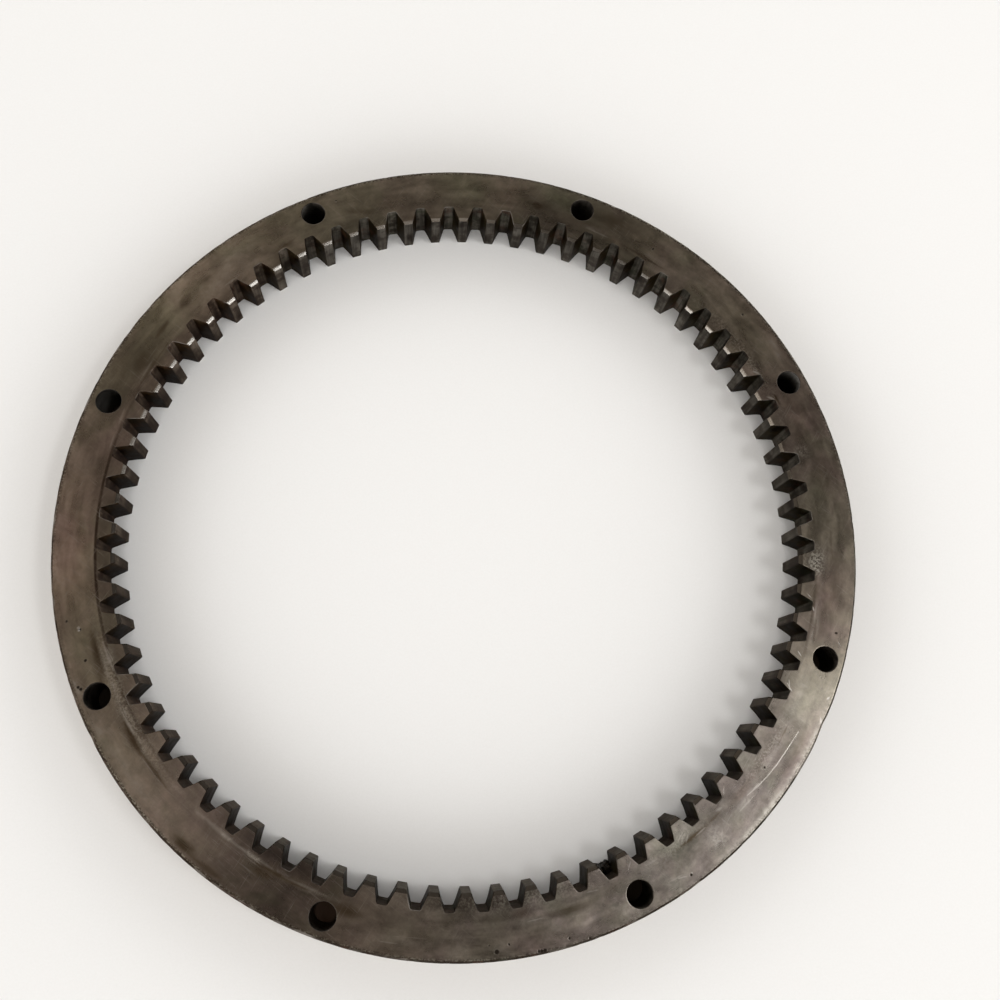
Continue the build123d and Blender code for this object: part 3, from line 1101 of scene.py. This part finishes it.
# %% Step, stains and scuffs
def with_step(steel, place, radius, colour):
    """The browner strip inside the step near the roots, and along the step a broken dark line of painted
    shade.
    """
    ledge = steel.mark("ledge")
    inside_step = steel.ramp(radius, step_radius + 0.0003, step_radius - 0.0002, 0.0, 0.48)
    inside_step = steel.math("MULTIPLY", inside_step, ledge)
    colour = steel.mix(inside_step, colour, (0.100, 0.086, 0.070, 1.0))
    # Painted shade: a dark line where the wall of a small step, not in the mesh, would be in shade.
    from_step = steel.math("ABSOLUTE", steel.math("SUBTRACT", radius, step_radius))
    step_painted_shade = steel.ramp(steel.noise(place, 30.0, 2.0), 0.36, 0.52, 0.40, 1.0)
    step_painted_shade = steel.math("MULTIPLY", steel.ramp(from_step, 0.0011, 0.0003), step_painted_shade)
    step_painted_shade = steel.math("MULTIPLY", step_painted_shade, ledge)
    return steel.mix(step_painted_shade, colour, (0.050, 0.034, 0.024, 1.0))


def with_rubbing(steel, place, noises, colour):
    """Dried oil, then bare scuffs broken up by noise, then hairlines in two directions."""
    thick = steel.ramp(noises["smears"], 0.30, 0.62, 0.6, 1.3)
    stained = steel.math("MULTIPLY", steel.mark("stain"), thick)
    colour = steel.mix(stained, colour, (0.082, 0.062, 0.040, 1.0))
    rubbed = steel.ramp(noises["rubbing"], 0.38, 0.62, 0.5, 1.35)
    scuffed = steel.math("MULTIPLY", steel.mark("scuff"), rubbed)
    colour = steel.mix(scuffed, colour, (0.43, 0.40, 0.355, 1.0))
    one_way, other_way = hairlines(steel, place, 0.6, 0.0005), hairlines(steel, place, 2.3, 0.0004)
    hairs = steel.math("MAXIMUM", one_way, other_way)
    hairs = steel.math("MULTIPLY", hairs, steel.ramp(noises["blotches"], 0.40, 0.60, 0.05, 0.40))
    return steel.mix(hairs, colour, (0.34, 0.31, 0.28, 1.0))


# %% Pits and the outer edge
def with_pits(steel, place, radius, noises, colour):
    """Speckles near the edge, then bright and dark pits where the mesh or the edge has them."""
    rough_edge = steel.mark("rough_edge")
    edge = steel.math("MULTIPLY", steel.ramp(radius, 0.2040, 0.2056), rough_edge)
    speckle = steel.math("MULTIPLY", edge, steel.ramp(noises["grain"], 0.48, 0.57, 0.0, 0.85))
    colour = steel.mix(speckle, colour, (0.052, 0.045, 0.036, 1.0))
    outermost = steel.math("MULTIPLY", steel.ramp(radius, 0.2043, 0.2056), rough_edge)
    pitted = steel.math("MAXIMUM", steel.mark("pitted"), outermost)
    pitting = steel.noise(place, 950.0, 3.0, 0.75)
    bright = steel.math("MULTIPLY", pitted, steel.ramp(pitting, 0.48, 0.42, 0.0, 0.9))
    colour = steel.mix(bright, colour, (0.46, 0.44, 0.37, 1.0))
    dark = steel.math("MULTIPLY", pitted, steel.ramp(pitting, 0.50, 0.54, 0.0, 0.95))
    colour = steel.mix(dark, colour, (0.040, 0.030, 0.022, 1.0))
    worn_patches = steel.ramp(steel.noise(place, 150.0, 3.0), 0.50, 0.64, 0.0, 0.7)
    worn = steel.math("MULTIPLY", steel.mark("worn"), worn_patches)
    return steel.mix(worn, colour, (0.26, 0.235, 0.20, 1.0))


# %% [markdown]
# The finish of the face brings the steps together and adds the spots, streaks and scratches, among them
# painted glints and edge highlights.
# Its relief is only some hundredths of a millimetre deep: the lines of the lathe, a fine grain,
# and the spots and scratches, which are sunk a little further.

# %% Face steel
def face_steel():
    steel = Finish("turned_face_steel")
    place = steel.place()
    radius = steel.radius(place)
    noises = face_noises(steel, place)
    sheen_grey = painted_sheen_grey(steel, place, noises)
    colour = film_colour(steel, place, noises, sheen_grey)
    colour = steel.times(colour, film_shade(steel, place, radius, noises, sheen_grey))
    colour = with_step(steel, place, radius, colour)
    colour = with_rubbing(steel, place, noises, colour)
    colour = with_pits(steel, place, radius, noises, colour)

    ragged = steel.ramp(noises["smudge"], 0.30, 0.70, -0.0004, 0.0004)
    smeared = steel.ramp(noises["smears"], 0.35, 0.65, -0.0005, 0.0005)
    streaked = scratches(steel, place, dark_streaks, smeared, 1.3)
    colour = steel.mix(streaked, colour, (0.070, 0.047, 0.028, 1.0))
    dents = spots(steel, place, dark_spots, ragged)
    colour = steel.mix(dents, colour, (0.020, 0.015, 0.011, 1.0))
    # Painted glints: small bright spots beside some dents.
    glints = spots(steel, place, painted_glint_spots, ragged)
    thin = steel.ramp(noises["smudge"], 0.35, 0.65, -0.0001, 0.00022)
    # Bright scratches, with painted highlights along worn tooth edges.
    scores_and_glints = scratches(steel, place, scratches_and_edge_highlights, thin, 0.9)
    fine = steel.ramp(noises["smudge"], 0.35, 0.65, -0.00008, 0.00008)
    scores_and_glints = steel.math("MAXIMUM", scores_and_glints, scratches(steel, place, long_scratch, fine))
    scores_and_glints = steel.math("MAXIMUM", scores_and_glints, steel.math("MULTIPLY", glints, 0.6))
    colour = steel.mix(scores_and_glints, colour, (0.52, 0.49, 0.45, 1.0))

    rough = steel.ramp(noises["smears"], 0.30, 0.70, 0.265, 0.335)
    rough = steel.math("ADD", rough, steel.math("MULTIPLY", dents, 0.3))
    lines = steel.noise(steel.lathe_place(place, 3.0, 2600.0), 1.0, 3.0, 0.6)
    relief = steel.bump(lines, 0.000010, 0.5)
    relief = steel.bump(noises["grain"], 0.00003, 0.4, relief)
    sunk = steel.math("MAXIMUM", dents, steel.math("MULTIPLY", scores_and_glints, 0.3))
    relief = steel.bump(steel.math("SUBTRACT", 1.0, sunk), 0.00012, 0.5, relief)
    return steel.finish(Base_Color=colour, Metallic=0.97, Roughness=rough, Normal=relief)


ring_mesh.materials.append(face_steel())
print("finish", ring_mesh.materials[FACE].name)

# %% [markdown]
# The tooth walls were cut along the axis, so their fine lines run straight up and down. The tips are
# rubbed to a dull grey, the roots keep a film, browner on the left and painted almost black near the front
# as shade, and the flanks between them are black: old oil, and painted shade of the narrow tooth spaces.
# Where a point lies between the tip circle and the root circle tells the shader which of the three it is.

# %% Oil and painted shade on the teeth
def tooth_oil_and_shade(steel, place, recess, on_flank, patchy):
    """Colour of the tips, roots and flanks, with rust in the roots and a greenish film.

    Recess is 0 on the tips and 1 in the roots, and on_flank is 1 between the two.
    """
    across = steel.node("ShaderNodeSeparateXYZ", {0: place}, 0)
    towards_back = steel.node("ShaderNodeSeparateXYZ", {0: place}, 1)
    at_left = steel.ramp(across, -0.06, -0.13)
    at_front = steel.ramp(towards_back, -0.115, -0.165)
    at_front = steel.math("MULTIPLY", at_front, steel.ramp(across, 0.15, 0.10))
    land = steel.mix(patchy, (0.026, 0.023, 0.020, 1.0), (0.062, 0.057, 0.050, 1.0))
    root = steel.mix(patchy, (0.021, 0.019, 0.015, 1.0), (0.070, 0.064, 0.054, 1.0))
    brown_root = steel.mix(patchy, (0.022, 0.014, 0.010, 1.0), (0.066, 0.049, 0.038, 1.0))
    root = steel.mix(at_left, root, brown_root)
    land = steel.mix(steel.math("MULTIPLY", at_left, 0.6), land, brown_root)
    # Painted shade: near the front the roots are made almost black.
    root = steel.mix(steel.math("MULTIPLY", at_front, 0.75), root, (0.012, 0.007, 0.004, 1.0))
    # Oil and painted shade: the flanks are nearly black.
    flank_oil_and_shade = steel.mix(patchy, (0.003, 0.0015, 0.0005, 1.0), (0.013, 0.009, 0.004, 1.0))
    brown_oil_and_shade = steel.mix(patchy, (0.004, 0.0017, 0.0005, 1.0), (0.016, 0.009, 0.004, 1.0))
    flank_oil_and_shade = steel.mix(at_left, flank_oil_and_shade, brown_oil_and_shade)
    colour = steel.mix(recess, land, root)
    colour = steel.mix(on_flank, colour, flank_oil_and_shade)
    tint = steel.noise(place, 120.0, 3.0, 0.6)
    rust = steel.math("MULTIPLY", steel.ramp(tint, 0.56, 0.66, 0.0, 0.40), recess)
    colour = steel.mix(rust, colour, (0.046, 0.019, 0.012, 1.0))
    green = steel.math("MULTIPLY", steel.ramp(tint, 0.44, 0.34, 0.0, 0.45), recess)
    green = steel.math("MULTIPLY", green, steel.ramp(at_left, 0.0, 1.0, 1.0, 0.2))
    return steel.mix(green, colour, (0.030, 0.034, 0.022, 1.0))


# %% Tooth steel
def tooth_steel():
    steel = Finish("oily_tooth_steel")
    place = steel.place()
    radius = steel.radius(place)
    cuts = steel.noise(steel.scaled(place, (1.0, 1.0, 0.05)), 800.0, 4.0, 0.65)
    patches = steel.noise(place, 170.0, 4.0, 0.65)
    tooth_by_tooth = steel.noise(place, 45.0, 3.0, 0.6)
    recess = steel.ramp(radius, tip_radius + 0.0004, root_radius - 0.002)
    off_land = steel.ramp(radius, tip_radius + 0.0001, tip_radius + 0.0007)
    off_root = steel.ramp(radius, root_radius - 0.0001, root_radius - 0.0007)
    on_flank = steel.math("MULTIPLY", off_land, off_root)
    colour = tooth_oil_and_shade(steel, place, recess, on_flank, steel.ramp(patches, 0.40, 0.58))
    # The wall marks in the mesh are painted light and shade.
    shade = steel.math("MULTIPLY", steel.ramp(cuts, 0.30, 0.70, 0.60, 1.42), steel.mark("wall_light_and_shade"))
    shade = steel.math("MULTIPLY", shade, steel.ramp(tooth_by_tooth, 0.36, 0.62, 0.70, 1.15))
    colour = steel.times(colour, shade)
    rubbed = steel.ramp(tooth_by_tooth, 0.52, 0.64, 0.05, 0.9)
    worn = steel.math("MULTIPLY", steel.mark("worn"), rubbed)
    colour = steel.mix(worn, colour, (0.15, 0.136, 0.12, 1.0))
    metal = steel.ramp(on_flank, 0.0, 1.0, 0.45, 0.05)
    rough = steel.ramp(patches, 0.30, 0.70, 0.34, 0.52)
    relief = steel.bump(cuts, 0.00004, 0.6)
    relief = steel.bump(patches, 0.00010, 0.5, relief)
    steel.finish(IOR=1.3, Specular_IOR_Level=0.05, Specular_Tint=(0.5, 0.42, 0.32, 1.0))
    return steel.finish(Base_Color=colour, Metallic=metal, Roughness=rough, Normal=relief)


ring_mesh.materials.append(tooth_steel())
print("finish", ring_mesh.materials[TOOTH].name)

# %% [markdown]
# The small bevels at the ends of the teeth were cut last and stay the brightest steel on the ring. On the
# near half, and along one stretch at the back, a brown film dulls them: partly grime, and partly painted
# shade where they do not mirror the lamps.

# %% Bevel steel
def bevel_steel():
    steel = Finish("bright_bevel_steel")
    place = steel.place()
    lines = steel.noise(steel.lathe_place(place, 14.0, 2400.0), 1.0, 4.0, 0.6)
    patches = steel.noise(place, 160.0, 3.0, 0.6)
    patchy = steel.ramp(patches, 0.30, 0.70)
    colour = steel.mix(patchy, (0.62, 0.59, 0.55, 1.0), (0.72, 0.70, 0.66, 1.0))
    across = steel.node("ShaderNodeSeparateXYZ", {0: place}, 0)
    towards_back = steel.node("ShaderNodeSeparateXYZ", {0: place}, 1)
    towards_back = steel.math("ADD", towards_back, steel.ramp(patches, 0.30, 0.70, -0.012, 0.012))
    # Painted shade, partly grime: the near half of the bevels is dulled to brown.
    film = steel.ramp(towards_back, 0.062, 0.012, 0.0, 0.84)
    film = steel.math("MULTIPLY", film, steel.ramp(across, 0.06, 0.15, 1.0, 1.06))
    # Painted shade, partly grime, along one stretch at the back.
    far_painted_shade = steel.ramp(towards_back, 0.10, 0.14, 0.0, 0.85)
    for start, end in ((0.0, 0.04), (0.135, 0.10)):
        far_painted_shade = steel.math("MULTIPLY", far_painted_shade, steel.ramp(across, start, end))
    film = steel.math("MAXIMUM", film, far_painted_shade)
    colour = steel.mix(film, colour, (0.105, 0.096, 0.085, 1.0))
    rough = steel.ramp(lines, 0.30, 0.70, 0.18, 0.23)
    relief = steel.bump(lines, 0.000003, 0.2)
    return steel.finish(Base_Color=colour, Metallic=1.0, Roughness=rough, Normal=relief)


ring_mesh.materials.append(bevel_steel())
print("finish", ring_mesh.materials[BEVEL].name)

# %% [markdown]
# The wall of the outer rim was turned, so its tool lines are level circles: noise whose place
# hardly changes round the ring but quickly with the height.

# %% Rim steel
def rim_steel():
    steel = Finish("turned_rim_steel")
    place = steel.place()
    feed = steel.noise(steel.scaled(place, (0.02, 0.02, 1.0)), 2600.0, 3.0, 0.6)
    clouds = steel.noise(place, 34.0, 4.0, 0.6)
    clouded = steel.ramp(clouds, 0.40, 0.62)
    colour = steel.mix(clouded, (0.245, 0.205, 0.165, 1.0), (0.150, 0.118, 0.090, 1.0))
    colour = steel.times(colour, steel.ramp(feed, 0.30, 0.70, 0.80, 1.20))
    grain = steel.noise(place, 620.0, 3.0, 0.7)
    worn = steel.math("MULTIPLY", steel.mark("worn"), steel.ramp(grain, 0.45, 0.62, 0.0, 0.8))
    colour = steel.mix(worn, colour, (0.34, 0.31, 0.27, 1.0))
    rough = steel.ramp(clouds, 0.35, 0.65, 0.34, 0.50)
    relief = steel.bump(feed, 0.00002, 0.6)
    return steel.finish(Base_Color=colour, Metallic=0.85, Roughness=rough, Normal=relief)


ring_mesh.materials.append(rim_steel())
print("finish", ring_mesh.materials[RIM].name)

# %% [markdown]
# The bolt holes were drilled, so their fine lines are level circles too. They are dark with oil, and high
# up on the far walls of two of them the steel is lighter.

# %% Hole steel
def hole_steel():
    steel = Finish("drilled_hole_steel")
    place = steel.place()
    rings = steel.noise(steel.scaled(place, (0.05, 0.05, 1.0)), 1800.0, 3.0, 0.6)
    patches = steel.noise(place, 190.0, 3.0, 0.6)
    patchy = steel.ramp(patches, 0.40, 0.62)
    colour = steel.mix(patchy, (0.020, 0.016, 0.012, 1.0), (0.075, 0.064, 0.052, 1.0))
    # Painted shade: the wall marks in the mesh darken the bolt hole at 157.5 degrees.
    colour = steel.times(colour, steel.mark("wall_light_and_shade"))
    colour = steel.mix(steel.mark("light_wall_patch"), colour, (0.40, 0.38, 0.35, 1.0))
    worn = steel.math("MULTIPLY", steel.mark("worn"), steel.ramp(patches, 0.45, 0.62, 0.0, 0.6))
    colour = steel.mix(worn, colour, (0.18, 0.16, 0.14, 1.0))
    rough = steel.ramp(rings, 0.30, 0.70, 0.40, 0.60)
    relief = steel.bump(rings, 0.00003, 0.6)
    return steel.finish(Base_Color=colour, Metallic=0.8, Roughness=rough, Normal=relief)


ring_mesh.materials.append(hole_steel())
print("finish", ring_mesh.materials[HOLE].name)

# %% [markdown]
# One tooth space is filled with a black, ragged mass made of three lumps. A lump is a ball whose distance
# from its middle is changed in every direction by a few random waves, and which is then stretched to the
# lump's size. It is packed between two teeth, so its sides go into the steel.

# %% Uneven reach of a lump
def waves(ways, waves_round, share, count):
    """Unevenness for each direction: count sine waves that run in random ways, added up.

    The sum is divided by the square root of the count, so its size stays near the share.
    """
    runs = chance.normal(size=(count, 3))
    runs *= waves_round / np.linalg.norm(runs, axis=1)[:, None]
    heights = np.sin(ways @ runs.T + chance.uniform(0, 2 * np.pi, count))
    return share * heights.sum(axis=1) / np.sqrt(count)


# %% Lumps
def lump(name, degrees_round, away, height, half_sizes, finish):
    """A closed lump between the teeth, with half sizes along the ring, across it and up.

    A direction is (sin a cos b, sin a sin b, cos a) for the tilt a and the turn b. The lump's
    point there is the direction times its reach times the half sizes. A single point closes
    each pole.
    """
    rows, steps = 72, 120
    tilt = np.linspace(0, np.pi, rows + 1)[1:-1, None]
    turn = np.linspace(0, 2 * np.pi, steps, endpoint=False)
    flat_way = np.sin(tilt) * np.exp(1j * turn)
    around = np.stack([flat_way.real, flat_way.imag, np.cos(tilt) + 0 * turn], -1)
    ways = np.concatenate([around.reshape(-1, 3), [(0, 0, 1), (0, 0, -1)]])
    reach = 1 + waves(ways, 4, 0.16, 8) + waves(ways, 11, 0.10, 16) + waves(ways, 30, 0.05, 30)
    along, across, up = (ways * reach[:, None] * half_sizes).T
    middle = away * np.exp(1j * radians(degrees_round))
    place = middle + (across - 1j * along) * np.exp(1j * radians(degrees_round))
    up = np.maximum(height + up, 0.0001)
    number = np.arange((rows - 1) * steps).reshape(rows - 1, steps)
    beside = np.roll(number, -1, axis=1)
    quads = np.stack([number[:-1], number[1:], beside[1:], beside[:-1]], -1).reshape(-1, 4)
    north = np.full(steps, number.size)
    caps = np.stack([north, number[0], beside[0]], -1).tolist()
    caps += np.stack([north + 1, beside[-1], number[-1]], -1).tolist()
    mesh = bpy.data.meshes.new(name)
    mesh.from_pydata(np.stack([place.real, place.imag, up], -1).tolist(), [], quads.tolist() + caps)
    mesh.polygons.foreach_set("use_smooth", np.ones(len(mesh.polygons), bool))
    body = bmesh.new()
    body.from_mesh(mesh)
    bmesh.ops.recalc_face_normals(body, faces=body.faces)
    body.to_mesh(mesh)
    body.free()
    mesh.materials.append(finish)
    piece = bpy.data.objects.new(name, mesh)
    bpy.context.collection.objects.link(piece)
    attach(piece, "root")
    print(name, "triangles", 2 * len(quads) + len(caps))


# %% [markdown]
# The lumps are nearly black and a little glossy, with lighter specks in them. They are no metal, and their
# weak shine is set by a low specular level.

# %% Black matter
def black_lump_matter():
    matter = Finish("black_lump_material")
    place = matter.place()
    grit = matter.noise(place, 900.0, 4.0, 0.7)
    clots = matter.noise(place, 380.0, 4.0, 0.6, 0.8)
    clotted = matter.ramp(clots, 0.40, 0.62)
    colour = matter.mix(clotted, (0.004, 0.003, 0.002, 1.0), (0.018, 0.013, 0.008, 1.0))
    colour = matter.mix(matter.ramp(grit, 0.62, 0.70, 0.0, 0.6), colour, (0.050, 0.040, 0.030, 1.0))
    rough = matter.ramp(clots, 0.35, 0.65, 0.25, 0.50)
    relief = matter.bump(clots, 0.0004, 0.8)
    relief = matter.bump(grit, 0.0002, 0.7, relief)
    matter.finish(Specular_IOR_Level=0.10)
    return matter.finish(Base_Color=colour, Roughness=rough, Normal=relief)


black_lump_finish = black_lump_matter()
lump("black_lump", 289.9, 0.1822, 0.0050, (0.0034, 0.0036, 0.0050), black_lump_finish)
lump("black_smear", 288.9, 0.1806, 0.0120, (0.0014, 0.0021, 0.0056), black_lump_finish)
lump("black_crumb", 288.4, 0.1771, 0.0165, (0.0008, 0.0009, 0.0024), black_lump_finish)
